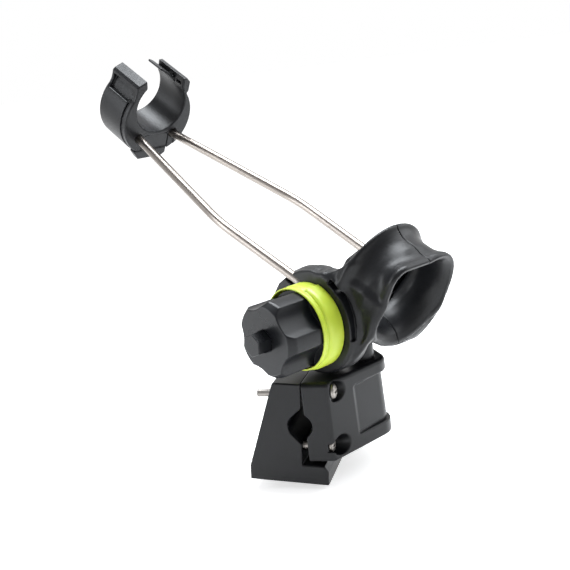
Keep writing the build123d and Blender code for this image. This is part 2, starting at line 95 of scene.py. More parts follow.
# ---- hub, cheeks and ring ----
HUB_R = 40.5
HUB_FACE = 46.0
CHEEK_IN = 33.0
CHEEK_OUT = 38.5
SEAM_HALF_GAP = 0.1
REAR_FLAT = (21.8, 23.0)                # half width and half height inside the rear rim's corners
REAR_CORNER_R = 28.0
BARREL_ROOM = (21.5, 24.1)              # radius and half width of the room for the post's barrel
PIVOT_HOLE_R = 5.3
PIVOT_HEX = 17.2
CRADLE_STEP = 0.85
DOWELS = [(-41.5, 35.0), (-13.5, 37.6)]
DOWEL_R = 1.1
DOWEL_HALF_LEN = 5.5
DOWEL_STEP = 0.5
# ---- wires ----
WIRE_R = 4.0
WIRE_ROOM = 0.1
WIRE_START = Vector((12.0, 41.2, 20.0))
WIRE_BEND = Vector((124.0, 44.5, 11.9))
WIRE_CLIP = Vector((278.0, 19.2, 0.3))
WIRE_END_X = 306.0
WIRE_BEND_R = 150.0
WIRE_AROUND = 32
# ---- knob and lime ring ----
KNOB_R = 29.6
KNOB_BACK = 53.0
KNOB_FRONT = 95.0
KNOB_SHOULDER = 90.0
KNOB_COLLAR_END = 62.0
INSERT_POCKET = (8.0, 78.0)             # radius, and how far forward it reaches
LOBES = 5
LOBE_PHASE = 10.0
FLUTE_R = 24.0
FLUTE_DEPTH = 6.0
HEX_ACROSS = 15.6
HEX_TURN = 38.0
HEX_BACK = 80.1
HEX_FRONT = 106.9
LIME_BACK = 46.0
LIME_THIN = (10.0, 170.0)               # angles between which the front part is thinner
KNOB_STEP = 0.6
HEX_STEP = 0.45


# ---------------------------------------------------------------- distance fields
def meet(a, b, r):
    """What two shapes share, with the edge between them rounded to r."""
    return np.hypot(np.maximum(a + r, 0), np.maximum(b + r, 0)) + np.minimum(np.maximum(a, b), -r)


def join(a, b, r):
    """Two shapes made one, with a fillet of r in the corner between them."""
    return -meet(-a, -b, r)


def cut(a, b, r):
    """The first shape without the second, with the edge between them rounded to r."""
    return meet(a, -b, r)


def slab(t, low, high):
    """Distance outside the span from low to high."""
    return np.abs(t - (low + high) / 2) - (high - low) / 2


def fade(t, start, end):
    """From 0 at start to 1 at end, and level beyond them."""
    return np.clip((t - start) / (end - start), 0, 1)


def outline(px, py, points):
    """Signed distance in a plane to a closed outline."""
    points = np.asarray(points, float)
    nearest, inside = None, False
    for a, b in zip(points, np.roll(points, -1, axis=0)):
        ex, ey = b - a
        wx, wy = px - a[0], py - a[1]
        t = np.clip((wx * ex + wy * ey) / (ex * ex + ey * ey), 0, 1)
        square = (wx - t * ex) ** 2 + (wy - t * ey) ** 2
        nearest = square if nearest is None else np.minimum(nearest, square)
        if abs(ey) > 1e-9:
            inside = inside ^ (((a[1] > py) != (b[1] > py)) & (px < ex * wy / ey + a[0]))
    return np.sqrt(nearest) * np.where(inside, -1.0, 1.0)


def flowing(points, per=3):
    """A smooth open line through a few points."""
    points = [np.asarray(p, float) for p in points]
    last = len(points) - 1
    made = []
    for i in range(last):
        p0, p1, p2, p3 = (points[min(max(i + k, 0), last)] for k in (-1, 0, 1, 2))
        for t in np.arange(per) / per:
            made.append(0.5 * (2 * p1 + (p2 - p0) * t + (2 * p0 - 5 * p1 + 4 * p2 - p3) * t**2
                               + (3 * p1 - p0 - 3 * p2 + p3) * t**3))
    return made + [points[-1]]


def rod_between(x, y, z, a, b, r):
    """A round-ended rod between two points."""
    e = b - a
    t = np.clip(((x - a[0]) * e[0] + (y - a[1]) * e[1] + (z - a[2]) * e[2]) / (e @ e), 0, 1)
    return np.sqrt((x - a[0] - t * e[0]) ** 2 + (y - a[1] - t * e[1]) ** 2 + (z - a[2] - t * e[2]) ** 2) - r


def tube(x, y, z, points, r):
    """A round rod that follows a line of points."""
    parts = [rod_between(x, y, z, a, b, r) for a, b in zip(points, points[1:])]
    return np.minimum.reduce(parts)


def surface(field, low, high, step):
    """Points and four-sided faces of the surface where the field is zero, drawn onto it exactly."""
    axes = [np.arange(a - 2 * step, b + 3 * step, step) for a, b in zip(low, high)]
    grid = np.meshgrid(*axes, indexing="ij", sparse=True)
    value = np.broadcast_to(field(*grid), [len(a) for a in axes])
    cells = [len(a) - 1 for a in axes]
    total = np.zeros((np.prod(cells), 3))
    count = np.zeros(np.prod(cells))
    faces = []
    for axis in range(3):
        a = value.take(range(cells[axis]), axis)
        b = value.take(range(1, cells[axis] + 1), axis)
        first = np.argwhere((a < 0) != (b < 0))
        fa, fb = a[tuple(first.T)], b[tuple(first.T)]
        point = first.astype(float)
        point[:, axis] += fa / (fa - fb)
        one, two = [(1, 2), (2, 0), (0, 1)][axis]
        corners = []
        for back_one, back_two in ((0, 0), (1, 0), (1, 1), (0, 1)):
            cell = first.copy()
            cell[:, one] -= back_one
            cell[:, two] -= back_two
            flat = np.ravel_multi_index(cell.T, cells)
            for k in range(3):
                total[:, k] += np.bincount(flat, point[:, k], minlength=len(total))
            count += np.bincount(flat, minlength=len(total))
            corners.append(flat)
        quads = np.stack(corners, 1)
        quads[fa >= 0] = quads[fa >= 0][:, ::-1]
        faces.append(quads)
    used = np.flatnonzero(count)
    number = np.zeros(len(count), int)
    number[used] = np.arange(len(used))
    points = total[used] / count[used, None] * step + [a[0] for a in axes]
    for _ in range(3):
        slope = field_slope(field, points)
        move = np.clip(field(*points.T) / (slope**2).sum(1).clip(0.25), -step / 2, step / 2)
        points -= move[:, None] * slope
    return points, number[np.concatenate(faces)]


def field_slope(field, points, h=0.04):
    """How the field rises at each point, which is the direction out of the shape."""
    shifts = np.eye(3) * h
    return np.stack([field(*(points + s).T) - field(*(points - s).T) for s in shifts], 1) / (2 * h)


def new_object(name, points, faces, place, normals=None):
    """A smooth-shaded mesh object; place takes its points to metres in the row's frame."""
    matrix = np.array(place)
    world = np.asarray(points, float) @ matrix[:3, :3].T + matrix[:3, 3]
    mesh = bpy.data.meshes.new(name)
    mesh.vertices.add(len(world))
    mesh.vertices.foreach_set("co", world.ravel())
    faces = np.asarray(faces)
    mesh.loops.add(faces.size)
    mesh.loops.foreach_set("vertex_index", faces.ravel())
    mesh.polygons.add(len(faces))
    mesh.polygons.foreach_set("loop_start", np.arange(0, faces.size, faces.shape[1]))
    mesh.update(calc_edges=True)
    mesh.validate()
    mesh.shade_smooth()
    if normals is not None:
        turned = normals @ matrix[:3, :3].T
        mesh.normals_split_custom_set_from_vertices(turned / np.linalg.norm(turned, axis=1)[:, None])
    made = bpy.data.objects.new(name, mesh)
    bpy.context.scene.collection.objects.link(made)
    return made


def moulded(name, field, low, high, step, place):
    """The surface of a field inside the box from low to high, as a new object."""
    points, faces = surface(field, low, high, step)
    return new_object(name, points, faces, place, field_slope(field, points))


def finish_piece(piece, body, slot_name, material, *nodes):
    """Gives a piece its material, the body it rides on and the CAD nodes it stands for."""
    piece.data.materials.clear()
    piece.data.materials.append(material)
    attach(piece, body)
    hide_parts(*nodes)


# ---------------------------------------------------------------- materials
def node_material(name):
    """A new material with its tree, its shader and the object's own coordinates."""
    material = bpy.data.materials.new(name)
    material.use_nodes = True
    tree = material.node_tree
    shader = tree.nodes["Principled BSDF"]
    coords = tree.nodes.new("ShaderNodeTexCoord")
    return material, tree, shader, coords.outputs["Object"]


def noise(tree, coords, scale, detail=3.0, roughness=0.5, stretch=None):
    node = tree.nodes.new("ShaderNodeTexNoise")
    node.inputs["Scale"].default_value = scale
    node.inputs["Detail"].default_value = detail
    node.inputs["Roughness"].default_value = roughness
    if stretch:
        mapping = tree.nodes.new("ShaderNodeMapping")
        mapping.inputs["Scale"].default_value = stretch
        tree.links.new(coords, mapping.inputs["Vector"])
        coords = mapping.outputs["Vector"]
    tree.links.new(coords, node.inputs["Vector"])
    return node.outputs["Fac"]


def ramp(tree, value, *stops):
    """A colour or grey ramp; each stop is (position, colour or grey)."""
    node = tree.nodes.new("ShaderNodeValToRGB")
    for i, (position, colour) in enumerate(stops):
        element = node.color_ramp.elements[i] if i < 2 else node.color_ramp.elements.new(position)
        element.position = position
        shade = colour if isinstance(colour, tuple) else (colour,) * 3
        element.color = (*shade, 1)
    tree.links.new(value, node.inputs["Fac"])
    return node.outputs["Color"]


def mixed(tree, share, a, b):
    """Colour a turning into colour b; each of the three is a socket or a constant."""
    node = tree.nodes.new("ShaderNodeMix")
    node.data_type = "RGBA"
    for socket, value in ((node.inputs["Factor"], share), (node.inputs[6], a), (node.inputs[7], b)):
        if isinstance(value, bpy.types.NodeSocket):
            tree.links.new(value, socket)
        elif isinstance(value, tuple):
            socket.default_value = (*value, 1)
        else:
            socket.default_value = value
    return node.outputs[2]


def bumped(tree, shader, *layers):
    """Bump from (height, strength, distance in metres) layers, one over the other."""
    below = None
    for height, strength, distance in layers:
        node = tree.nodes.new("ShaderNodeBump")
        node.inputs["Strength"].default_value = strength
        node.inputs["Distance"].default_value = distance
        tree.links.new(height, node.inputs["Height"])
        if below:
            tree.links.new(below, node.inputs["Normal"])
        below = node.outputs["Normal"]
    tree.links.new(below, shader.inputs["Normal"])


def edge_wear(tree, low, high):
    """From 0 on flat faces to 1 on sharp outer edges."""
    geometry = tree.nodes.new("ShaderNodeNewGeometry")
    return ramp(tree, geometry.outputs["Pointiness"], (low, 0.0), (high, 1.0))


def moulded_plastic(name, base, light, rough, grain):
    """Moulded nylon: fine grain, faint flow marks, and edges rubbed a little lighter."""
    material, tree, shader, coords = node_material(name)
    flow = noise(tree, coords, 26, 4, 0.55)
    fine = noise(tree, coords, 1500, 2, 0.6)
    speck = noise(tree, coords, 420, 3, 0.7)
    colour = ramp(tree, flow, (0.3, base), (0.72, light))
    speckled = ramp(tree, speck, (0.62, 0.0), (0.8, 0.3))
    colour = mixed(tree, speckled, colour, tuple(c * 1.9 for c in light))
    worn = mixed(tree, edge_wear(tree, 0.53, 0.62), (0.0, 0.0, 0.0), (0.35, 0.35, 0.35))
    colour = mixed(tree, worn, colour, tuple(c * 2.2 for c in light))
    tree.links.new(colour, shader.inputs["Base Color"])
    gloss = ramp(tree, flow, (0.25, rough - 0.05), (0.8, rough + 0.07))
    tree.links.new(gloss, shader.inputs["Roughness"])
    shader.inputs["Specular IOR Level"].default_value = 0.27
    bumped(tree, shader, (flow, 0.05, 0.0006), (speck, grain / 3, 0.0002), (fine, grain, 0.0002))
    return material


def lime_plastic():
    """Moulded lime green plastic with faint flow marks and a trace of light under the surface."""
    material, tree, shader, coords = node_material("lime_plastic")
    flow = noise(tree, coords, 34, 3)
    fine = noise(tree, coords, 900, 2)
    colour = ramp(tree, flow, (0.3, (0.41, 0.52, 0.035)), (0.75, (0.47, 0.58, 0.05)))
    colour = mixed(tree, ramp(tree, fine, (0.6, 0.0), (0.85, 0.25)), colour, (0.38, 0.50, 0.02))
    tree.links.new(colour, shader.inputs["Base Color"])
    tree.links.new(ramp(tree, flow, (0.2, 0.33), (0.8, 0.42)), shader.inputs["Roughness"])
    shader.inputs["Subsurface Weight"].default_value = 0.08
    shader.inputs["Subsurface Scale"].default_value = 0.002
    bumped(tree, shader, (fine, 0.12, 0.0001))
    return material


def wire_metal():
    """Drawn stainless wire: an even, slightly warm grey with a soft gloss and a very fine grain."""
    material, tree, shader, coords = node_material("wire_steel")
    tarnish = noise(tree, coords, 30, 3, 0.5)
    grain = noise(tree, coords, 2600, 2, 0.5)
    colour = ramp(tree, tarnish, (0.3, (0.30, 0.27, 0.245)), (0.8, (0.24, 0.215, 0.195)))
    tree.links.new(colour, shader.inputs["Base Color"])
    shader.inputs["Metallic"].default_value = 1.0
    tree.links.new(ramp(tree, tarnish, (0.2, 0.28), (0.8, 0.33)), shader.inputs["Roughness"])
    bumped(tree, shader, (grain, 0.01, 0.00002))
    return material


def steel(name, base, dark, rough, scratch_scale):
    """Turned metal with fine draw lines, faint tarnish and small variations in gloss."""
    material, tree, shader, coords = node_material(name)
    tarnish = noise(tree, coords, 60, 4, 0.6)
    lines = noise(tree, coords, scratch_scale, 2, 0.5, stretch=(1.0, 1.0, 0.2))
    tree.links.new(ramp(tree, tarnish, (0.32, base), (0.8, dark)), shader.inputs["Base Color"])
    shader.inputs["Metallic"].default_value = 1.0
    gloss = ramp(tree, lines, (0.3, rough * 0.85), (0.75, rough * 1.25))
    tree.links.new(gloss, shader.inputs["Roughness"])
    bumped(tree, shader, (lines, 0.02, 0.00005), (tarnish, 0.02, 0.0002))
    return material


BODY_PLASTIC = moulded_plastic(
    "body_plastic", base=(0.0042, 0.0045, 0.0054), light=(0.0076, 0.0080, 0.0094), rough=0.35, grain=0.30)
KNOB_PLASTIC = moulded_plastic(
    "knob_plastic", base=(0.0048, 0.0053, 0.0064), light=(0.0074, 0.0080, 0.0098), rough=0.30, grain=0.12)
INNER_PLASTIC = moulded_plastic(
    "inner_plastic", base=(0.055, 0.055, 0.058), light=(0.08, 0.08, 0.084), rough=0.4, grain=0.1)
LIME_PLASTIC = lime_plastic()
WIRE_STEEL = wire_metal()
BOLT_STEEL = steel("bolt_steel", (0.30, 0.28, 0.26), (0.235, 0.22, 0.205), rough=0.40, scratch_scale=1400)
BRASS = steel("brass", (0.72, 0.52, 0.22), (0.55, 0.38, 0.15), rough=0.3, scratch_scale=1100)


# ---------------------------------------------------------------- cradle
# the ring's wall: along the rod, out from the ring's axis
RING_OUTSIDE = [
    (-47.6, 39.4), (-47.8, 41.0), (-46.4, 42.0), (-43.6, 41.8), (-40.0, 40.0), (-35.0, 38.5), (-28.0, 38.0),
    (-22.0, 38.0), (-17.5, 38.9), (-14.0, 40.9), (-11.6, 43.1), (-9.9, 43.5), (-8.6, 42.6),
]
RING_INSIDE = [
    (-9.6, 40.2), (-12.5, 36.0), (-16.5, 32.6), (-22.0, 30.3), (-27.0, 30.0), (-32.0, 30.4), (-38.0, 31.9),
    (-43.0, 34.4), (-46.6, 37.8),
]
# the rear edge, from the ring's rim down to the hub: along the rod, out to the side, up
REAR_EDGE = [
    (-45.2, 32.6, 50.0), (-45.6, 33.2, 43.0), (-46.0, 35.2, 34.0), (-46.1, 37.2, 25.0), (-45.2, 38.2, 14.0),
    (-42.4, 38.2, 3.0), (-37.6, 38.2, -9.0), (-31.0, 38.2, -21.0), (-22.5, 38.2, -31.0),
]
# the cheek, its ear and its web, seen from the side: along the rod, up
EAR_FRONT = [(36.0, -18.0), (42.0, -8.9), (45.6, -5.6), (43.9, 6.0), (37.0, 18.5), (29.0, 28.0)]
CHEEK_OUTLINE = [
    (-20.0, -34.5), (0.0, -40.2), (21.0, -34.3), *EAR_FRONT,
    (17.0, 36.0), (6.0, 41.0), (-8.0, 46.0), (-28.0, 48.0), (-46.0, 46.0),
    (-47.0, 32.0), (-46.6, 20.0), (-44.0, 6.0), (-39.2, -7.0), (-32.4, -20.0),
]
EAR_OUTLINE = [*EAR_FRONT, (18.0, 36.5), (6.0, 41.0), (-4.0, 41.5), (-4.0, 0.0), (20.0, -20.0)]
# the web runs from the ear up into the ring's front rim
WEB_OUTLINE = [
    (8.0, 37.0), (5.0, 42.0), (-1.0, 48.5), (-5.5, 55.0), (-9.0, 60.0), (-11.5, 60.0),
    (-12.5, 44.0), (-13.0, 28.0), (8.0, 26.0),
]


def ring_radius(x, y, z, far):
    """Distance from the ring's axis; towards the rear it runs from round to a rounded square.

    Beside the seam both halves do so; further out, the far one stays nearly round.
    """
    level = z - RING_Z
    wide, tall = np.abs(y) - REAR_FLAT[0], np.abs(level) - REAR_FLAT[1]
    square = np.hypot(np.maximum(wide, 0), np.maximum(tall, 0)) + np.minimum(np.maximum(wide, tall), 0)
    share = fade(x, -29.0, -46.0) * fade(level, -18.0, 8.0)
    share = share * share * (3 - 2 * share)
    if far:
        share = share * (1 - 0.8 * fade(y, 3.0, 23.0))
    return np.hypot(y, level) * (1 - share) + (square + REAR_CORNER_R) * share


def hub_slot(x, y, z):
    """The slot round the hub's disc, narrower and shallower towards its rear end."""
    along_rim = np.arctan2(-x, z) * HUB_R
    end = fade(along_rim, 0.0, 50.0)
    middle = HUB_R + 0.6 - 1.2 * end
    slot = meet(np.abs(np.hypot(x, z) - middle) - 2.1 + end, slab(along_rim, 2.0, 52.0), 0.9)
    return meet(slot, HUB_FACE - 8.0 + 3.0 * end - y, 0.5)


def wire_seat(x, y, z):
    """The wire's round seat in the cheek, open towards the outside."""
    share = (x - WIRE_START.x) / (WIRE_BEND.x - WIRE_START.x)
    side = WIRE_START.y + (WIRE_BEND.y - WIRE_START.y) * share
    height = z - WIRE_START.z - (WIRE_BEND.z - WIRE_START.z) * share
    room = WIRE_R + WIRE_ROOM
    seat = np.maximum(np.hypot(y - side, height) - room, WIRE_START.x - x)
    way_in = meet(np.abs(height) - room, np.maximum(WIRE_START.y - y, WIRE_START.x - x), 0.1)
    return np.minimum(seat, way_in)


def ring_and_cheek(x, y, z, far):
    """The solid outer form of one half: the ring's wall, the web, the cheek, the ear and the hub."""
    from_axis = ring_radius(x, y, z, far)
    from_hub = np.hypot(x, z)
    ring = outline(x, from_axis, flowing(RING_OUTSIDE) + [(-9.0, 0.0), (-47.5, 0.0)])
    web = meet(outline(x, z, WEB_OUTLINE), meet(from_axis - 43.0, 31.5 - y, 1.5), 1.5)
    lean = 3.6 * fade(x, -32.0, -46.0) * fade(z, 20.0, 42.0)
    cheek = meet(outline(x, z, CHEEK_OUTLINE), slab(y + lean, CHEEK_IN, CHEEK_OUT), 2.0)
    disc = meet(from_hub - HUB_R, slab(y, 26.0, HUB_FACE), 2.2)
    ear = meet(outline(x, z, EAR_OUTLINE), slab(y, 30.0, HUB_FACE), 1.6)
    half = join(join(join(ring, web, 5.0), cheek, 6.0), join(disc, ear, 1.2), 8.0)
    half = join(half, tube(x, y, z, flowing(REAR_EDGE), 2.0), 2.5)
    boss = meet(from_hub - 31.0, slab(y, BARREL_ROOM[1] + 0.1, 34.0), 1.0)
    half = join(half, boss, 1.5)
    # the underside keeps clear of the clamp when the cradle turns
    return meet(half, np.minimum(from_hub - HUB_R - 0.2, -16.0 - z), 1.5)


def cradle_field(x, y, z, far=False):
    """One moulded half of the cradle: half the ring, a cheek and half the hub."""
    half = ring_and_cheek(x, y, z, far)
    open_ends = [(-60.0, 44.0), (-60.0, -1.0), (12.0, -1.0), (12.0, 33.0), (-7.0, 34.0)]
    half = cut(half, outline(x, ring_radius(x, y, z, far), flowing(RING_INSIDE) + open_ends), 1.3)
    half = cut(half, hub_slot(x, y, z), 0.8)
    from_hub = np.hypot(x, z)
    half = cut(half, meet(from_hub - BARREL_ROOM[0], y - BARREL_ROOM[1], 0.5), 0.5)
    half = cut(half, from_hub - PIVOT_HOLE_R, 0.4)
    half = cut(half, wire_seat(x, y, z), 0.4)
    if far:
        half = cut(half, np.maximum(hexagon(x, z, PIVOT_HEX), 39.5 - y), 0.4)
    return meet(half, SEAM_HALF_GAP - y, 0.5)


def hexagon(px, py, across, turn=0.0):
    """Distance to a regular hexagon in a plane, measured across its flats."""
    angles = [math.radians(turn + 60 * k) for k in range(3)]
    return np.maximum.reduce([np.abs(px * math.cos(a) + py * math.sin(a)) for a in angles]) - across / 2


def dowel_field(x, y, z):
    """Two dowels across the seam, inside the wall of the ring."""
    dowels = [
        meet(np.hypot(x - along, z - RING_Z - up) - DOWEL_R, np.abs(y) - DOWEL_HALF_LEN, 0.3)
        for along, up in DOWELS
    ]
    return np.minimum.reduce(dowels)


def make_dowels():
    low, high = (-43, -6, RING_Z + 33), (-12, 6, RING_Z + 39)
    dowels = moulded("seam_dowels", dowel_field, low, high, DOWEL_STEP, CRADLE)
    finish_piece(dowels, "cradle", "grey_plastic", INNER_PLASTIC, "seam_pins")


def make_cradle():
    """Both halves; the far one is worked out on the near side and flipped over."""
    low, high = (-53, 0, -43), (48, HUB_FACE, RING_Z + 44)
    near = moulded("near_cradle_shell", cradle_field, low, high, CRADLE_STEP, CRADLE)
    finish_piece(near, "cradle", "black_plastic", BODY_PLASTIC, "near_cradle_half")
    flip = CRADLE @ Matrix.Diagonal((1, -1, 1, 1))
    far_field = functools.partial(cradle_field, far=True)
    points, faces = surface(far_field, low, high, CRADLE_STEP)
    far = new_object("far_cradle_shell", points, faces[:, ::-1], flip, field_slope(far_field, points))
    finish_piece(far, "cradle", "black_plastic", BODY_PLASTIC, "far_cradle_half")


# ---------------------------------------------------------------- wires
def wire_points(side):
    """The wire's centre line: two straight runs and an arc at the bend."""
    beyond = (WIRE_END_X - WIRE_BEND.x) / (WIRE_CLIP.x - WIRE_BEND.x)
    end = WIRE_BEND.lerp(WIRE_CLIP, beyond)
    into, out = (WIRE_BEND - WIRE_START).normalized(), (end - WIRE_BEND).normalized()
    turn = into.angle(out)
    inward = (out - into).normalized()
    centre = WIRE_BEND + inward * (WIRE_BEND_R / math.cos(turn / 2))
    first = WIRE_BEND - into * (WIRE_BEND_R * math.tan(turn / 2)) - centre
    arc = [centre + Matrix.Rotation(turn * k / 8, 3, into.cross(out)) @ first for k in range(9)]
    run_in = [WIRE_START.lerp(arc[0], k / 6) for k in range(6)]
    run_out = [arc[-1].lerp(end, k / 8) for k in range(1, 9)]
    return [Vector((p.x, side * p.y, p.z)) for p in run_in + arc + run_out]


def wire_skin(line):
    """Rings of points round the centre line with faces between them, and a flat cap on each end."""
    spin = [2 * math.pi * k / WIRE_AROUND for k in range(WIRE_AROUND)]
    last = len(line) - 1
    points = []
    for i, p in enumerate(line):
        along = (line[min(i + 1, last)] - line[max(i - 1, 0)]).normalized()
        across = along.cross(Vector((0, 0, 1))).normalized()
        up = across.cross(along)
        points += [p + (across * math.cos(a) + up * math.sin(a)) * WIRE_R for a in spin]
    faces = []
    for i in range(last):
        here, ahead = i * WIRE_AROUND, (i + 1) * WIRE_AROUND
        for k in range(WIRE_AROUND):
            n = (k + 1) % WIRE_AROUND
            faces.append((here + k, here + n, ahead + n, ahead + k))
    first_tip, last_tip, last_ring = len(points), len(points) + 1, last * WIRE_AROUND
    points += [line[0], line[-1]]
    for k in range(0, WIRE_AROUND, 2):
        m, n = k + 1, (k + 2) % WIRE_AROUND
        faces.append((first_tip, n, m, k))
        faces.append((last_tip, last_ring + k, last_ring + m, last_ring + n))
    return points, faces


def make_wires():
    for side, name in ((1, "near_wire"), (-1, "far_wire")):
        points, faces = wire_skin(wire_points(side))
        wire = new_object(f"{name}_rod", points, faces, CRADLE)
        finish_piece(wire, "cradle", "wire_steel", WIRE_STEEL, name)


# ---------------------------------------------------------------- knob and lime ring
# the lime ring's wall: along the hub's axis, out from it
LIME_SECTION = [
    (LIME_BACK, 12.0), (LIME_BACK, 32.6), (46.8, 33.45), (56.5, 33.45), (58.6, 33.1), (59.8, 32.3),
    (60.2, 31.4), (60.9, 31.3), (61.5, 31.8), (64.3, 31.8), (64.9, 31.4), (64.95, 30.6), (64.4, 30.3),
    (52.0, 30.3), (52.0, 12.0),
]


def knob_field(x, y, z):
    """A lobed knob with a round collar at its back, a bevelled front, and a socket in each end."""
    radius = np.hypot(x, z)
    lobes = radius - KNOB_R
    for lobe in range(LOBES):
        angle = math.radians(LOBE_PHASE + (lobe + 0.5) * 360 / LOBES)
        reach = KNOB_R - FLUTE_DEPTH + FLUTE_R
        flute = np.hypot(x - reach * math.sin(angle), z - reach * math.cos(angle)) - FLUTE_R
        lobes = cut(lobes, meet(flute, KNOB_COLLAR_END - y, 0.5), 0.45)
    shoulder = (radius - KNOB_R) * 0.82 + (y - KNOB_SHOULDER) * 0.57
    body = meet(meet(lobes, shoulder, 0.7), slab(y, KNOB_BACK, KNOB_FRONT), 0.6)
    body = cut(body, np.maximum(radius - INSERT_POCKET[0], y - INSERT_POCKET[1]), 0.3)
    socket = np.maximum(hexagon(x, z, HEX_ACROSS + 0.2, HEX_TURN), HEX_BACK - 0.1 - y)
    return cut(body, socket, 0.25)


def drive_hex_field(x, y, z):
    return meet(hexagon(x, z, HEX_ACROSS, HEX_TURN), slab(y, HEX_BACK, HEX_FRONT), 0.5)


def lime_ring_field(x, y, z):
    """The ring round the knob; its front part, past a small step, is a little thinner."""
    radius = np.hypot(x, z)
    angle = np.degrees(np.arctan2(x, z))
    low, high = LIME_THIN
    thin = fade(angle, low, low + 1.4) * fade(angle, high, high - 1.4)
    radius = radius + 1.3 * thin * fade(y, 60.5, 59.5)
    return 0.95 * outline(y, radius, LIME_SECTION)


def make_knob():
    span = KNOB_R + 1
    low, high = (-span, KNOB_BACK, -span), (span, KNOB_FRONT, span)
    knob = moulded("knob_body", knob_field, low, high, KNOB_STEP, CRADLE)
    finish_piece(knob, "knob", "black_plastic", KNOB_PLASTIC, "knob")
    low, high = (-10, 80, -10), (10, 107, 10)
    drive = moulded("knob_drive_hex", drive_hex_field, low, high, HEX_STEP, CRADLE)
    finish_piece(drive, "knob", "black_plastic", KNOB_PLASTIC, "drive_hex")
    low, high = (-34, LIME_BACK, -34), (34, 65, 34)
    ring = moulded("lime_lock_ring", lime_ring_field, low, high, KNOB_STEP, CRADLE)
    finish_piece(ring, "cradle", "lime_plastic", LIME_PLASTIC, "lock_ring")


# ---------------------------------------------------------------- front clip
CLIP_OUT_R = 37.5
CLIP_OUT_AT = (1.0, 18.0)
CLIP_TOP = 46.0
BASE_BOTTOM = -16.0
LIP_START = math.radians(108.0)         # where the springy lip leaves the far arm
LIP_THICK = 2.5
GROOVE = (5.2, 6.8)                     # the groove round the barrel, measured from its rear end
WINDOW_SPAN = (7.3, 3.4)                # wall left behind and in front of the near arm's window
SLOT_STARTS = (4.5, 21.0)               # the far arm's two slots, measured from the rear end
SLOT_LEN = 7.0
CLIP_STEP = 0.7
# sections across the rod: out to the side, up
NEAR_HEAD = [
    (17.4, 49.0), (19.7, 58.4), (27.4, 54.5), (29.4, 52.4), (29.4, 48.6), (30.0, 41.0), (24.0, 38.0),
]
FAR_HEAD = [(-21.3, 48.5), (-20.9, 56.9), (-24.6, 57.2), (-29.1, 52.7), (-28.9, 43.0), (-24.0, 40.0)]
WINDOW = [(24.5, 49.4), (42.0, 51.0), (42.0, 35.8), (28.0, 37.2)]
BASE_BLOCK = [
    (-14.5, -20.0), (-14.5, 1.5), (-9.0, 2.4), (0.0, 3.0), (9.0, 2.4), (15.0, 1.0), (15.0, -20.0),
]
FOOT = [(-13.2, -13.0), (-13.2, -19.0), (-9.0, -21.8), (17.2, -21.8), (22.3, -14.9), (22.3, -13.0)]


def clip_wires(x, y, z):
    """Distance from the wires where they run into the clip."""
    along = (x - WIRE_BEND.x) / (WIRE_CLIP.x - WIRE_BEND.x)
    side = WIRE_BEND.y + (WIRE_CLIP.y - WIRE_BEND.y) * along
    height = WIRE_BEND.z + (WIRE_CLIP.z - WIRE_BEND.z) * along
    return np.hypot(np.abs(y) - side, z - height) - WIRE_R


def clip_lip(x, y, z):
    """The thin springy lip that carries the bore on past the far arm, cut off at a slant."""
    bore = np.hypot(y, z - CLIP_Z) - CLIP_R
    half = LIP_THICK / 2
    past = y * math.sin(LIP_START) - (z - CLIP_Z) * math.cos(LIP_START)
    lip = meet(meet(np.abs(bore - half) - half, past, 1.0), 30.0 - z, 0.5)
    slant = CLIP_REAR + 15.0 - x + 0.45 * (y + 20.0)
    lip = meet(lip, np.maximum(slant, x - CLIP_FRONT + 0.3), 1.0)
    return np.maximum(lip, y + 2.0)


def clip_field(x, y, z):
    """The front clip: a thick open barrel with a head on each arm, a window, slots and a lip."""
    bore = np.hypot(y, z - CLIP_Z) - CLIP_R
    outside = np.hypot(y - CLIP_OUT_AT[0], z - CLIP_OUT_AT[1]) - CLIP_OUT_R
    # behind the groove the barrel is a plain rim, a little smaller
    outside = outside + 0.9 * fade(x, CLIP_REAR + GROOVE[0], CLIP_REAR + GROOVE[0] - 0.8)
    barrel = meet(meet(outside, z - CLIP_TOP, 1.5), BASE_BOTTOM - z, 3.0)
    section = join(barrel, outline(y, z, NEAR_HEAD), 1.8)
    section = join(section, outline(y, z, FAR_HEAD), 1.8)
    clip = meet(section, slab(x, CLIP_REAR, CLIP_FRONT), 1.3)
    clip = join(clip, clip_lip(x, y, z), 1.0)
    clip = cut(clip, bore, 1.2)
    behind, before = WINDOW_SPAN
    window = meet(outline(y, z, WINDOW), slab(x, CLIP_REAR + behind, CLIP_FRONT - before), 1.0)
    clip = cut(clip, meet(window, 3.3 - bore, 0.6), 0.7)
    groove = np.maximum(slab(x, CLIP_REAR + GROOVE[0], CLIP_REAR + GROOVE[1]), -outside - 2.2)
    clip = cut(clip, np.maximum(groove, z - 37.0), 0.5)
    for start in SLOT_STARTS:
        slot = slab(x, CLIP_REAR + start, CLIP_REAR + start + SLOT_LEN)
        clip = cut(clip, np.maximum(meet(slot, slab(z, 49.2, 52.0), 0.8), y + 19.0), 0.5)
    clip = cut(clip, outline(y, z, BASE_BLOCK), 0.6)
    # the rear face is set back a little between the wires, under the rim of the bore
    set_back = meet(meet(3.6 - bore, np.abs(y) - 21.0, 1.0), z - 6.0, 1.0)
    clip = cut(clip, np.maximum(set_back, x - CLIP_REAR - 1.1), 0.5)
    return cut(clip, clip_wires(x, y, z) - WIRE_ROOM, 0.5)


